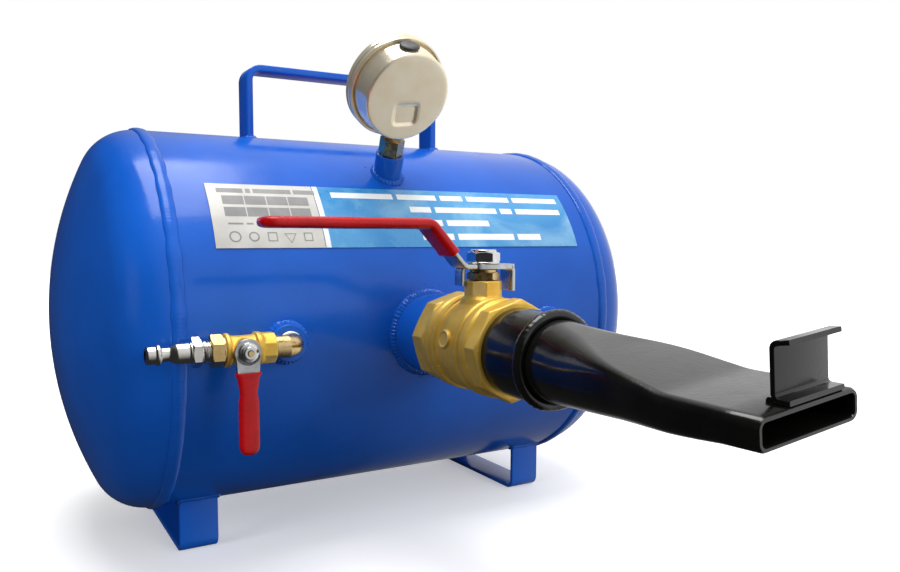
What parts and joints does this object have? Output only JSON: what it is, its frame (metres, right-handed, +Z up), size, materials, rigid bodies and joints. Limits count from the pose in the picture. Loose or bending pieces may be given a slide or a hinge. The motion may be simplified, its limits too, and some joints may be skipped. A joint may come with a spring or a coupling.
{
  "type": "bead seater blaster tank",
  "caption": "Portable welded air tank on strap feet that blasts air through a lever ball valve and a flattened barrel to seat tyre beads, with a gauge, an air inlet valve and a carry handle.",
  "frame": {"origin": "centre of the whole object's box, on the floor plane that the two strap feet stand on", "axes": "+X along the tank towards the end without the inlet valve, -Y the way the barrel points, +Z up"},
  "size_m": [0.416, 0.5277, 0.3328],
  "materials": {
    "tank_paint": "gloss powder coat",
    "data_sticker": "satin printed vinyl",
    "info_sticker": "gloss printed vinyl",
    "cast_brass": "sandblasted cast brass",
    "turned_brass": "turned brass",
    "ptfe": "waxy",
    "black_paint": "gloss paint",
    "chrome_plate": "polished",
    "nickel_plate": "polished nickel",
    "zinc_plate": "zinc plated",
    "red_vinyl": "dipped vinyl",
    "stainless": "pressed stainless",
    "black_rubber": "satin",
    "gauge_glass": "clear",
    "dial_white": "printed",
    "pointer_black": "matt"
  },
  "bodies": {
    "tank": {"tank_shell": "tank_paint", "head_right": "tank_paint", "head_left": "tank_paint", "girth_weld_right": "tank_paint", "girth_weld_left": "tank_paint", "data_plate": "data_sticker", "info_label": "info_sticker", "foot_left": "tank_paint", "foot_right": "tank_paint", "carry_handle": "tank_paint", "outlet_stub": "tank_paint", "valve_body": "cast_brass", "valve_end": "cast_brass", "valve_seat_front": "ptfe", "valve_seat_rear": "ptfe", "barrel_collar": "black_paint", "collar_weld": "black_paint", "barrel_tube": "black_paint", "rim_hook": "black_paint", "valve_packing": "ptfe", "valve_packing_nut": "turned_brass", "inlet_boss": "tank_paint", "spare_boss": "tank_paint", "spare_plug": "turned_brass", "inlet_elbow": "turned_brass", "inlet_valve_body": "cast_brass", "inlet_valve_end": "turned_brass", "inlet_seat_inner": "ptfe", "inlet_seat_outer": "ptfe", "coupler_plug": "nickel_plate", "gauge_boss": "tank_paint", "gauge_socket": "turned_brass", "gauge_case": "stainless", "gauge_bezel": "stainless", "gauge_gasket": "black_rubber", "gauge_window": "gauge_glass", "gauge_dial": "dial_white", "gauge_bourdon_tube": "turned_brass", "gauge_movement": "turned_brass", "gauge_fill_plug": "black_rubber"},
    "main_lever": {"valve_ball": "chrome_plate", "valve_stem": "turned_brass", "valve_lever": "zinc_plate", "valve_lever_sleeve": "red_vinyl", "valve_lever_nut": "chrome_plate"},
    "inlet_lever": {"inlet_ball": "chrome_plate", "inlet_stem": "turned_brass", "inlet_washer": "zinc_plate", "inlet_lever": "zinc_plate", "inlet_lever_sleeve": "red_vinyl", "inlet_lever_nut": "chrome_plate"},
    "gauge_needle": {"gauge_pointer": "pointer_black"}
  },
  "joints": [
    {"name": "main_valve_turn", "type": "hinge", "parent": "tank", "child": "main_lever", "pos_m": [0.0045, -0.0546, 0.145], "axis": [0, 0, 1], "range_deg": [0, 90]},
    {"name": "inlet_valve_turn", "type": "hinge", "parent": "tank", "child": "inlet_lever", "pos_m": [-0.1238, -0.0081, 0.145], "axis": [0, -1, 0], "range_deg": [0, 90]},
    {"name": "needle_turn", "type": "hinge", "parent": "tank", "child": "gauge_needle", "pos_m": [-0.00961, 0.02103, 0.29956], "axis": [0.0606, -0.8336, -0.5491], "range_deg": [0, 270]}
  ]
}
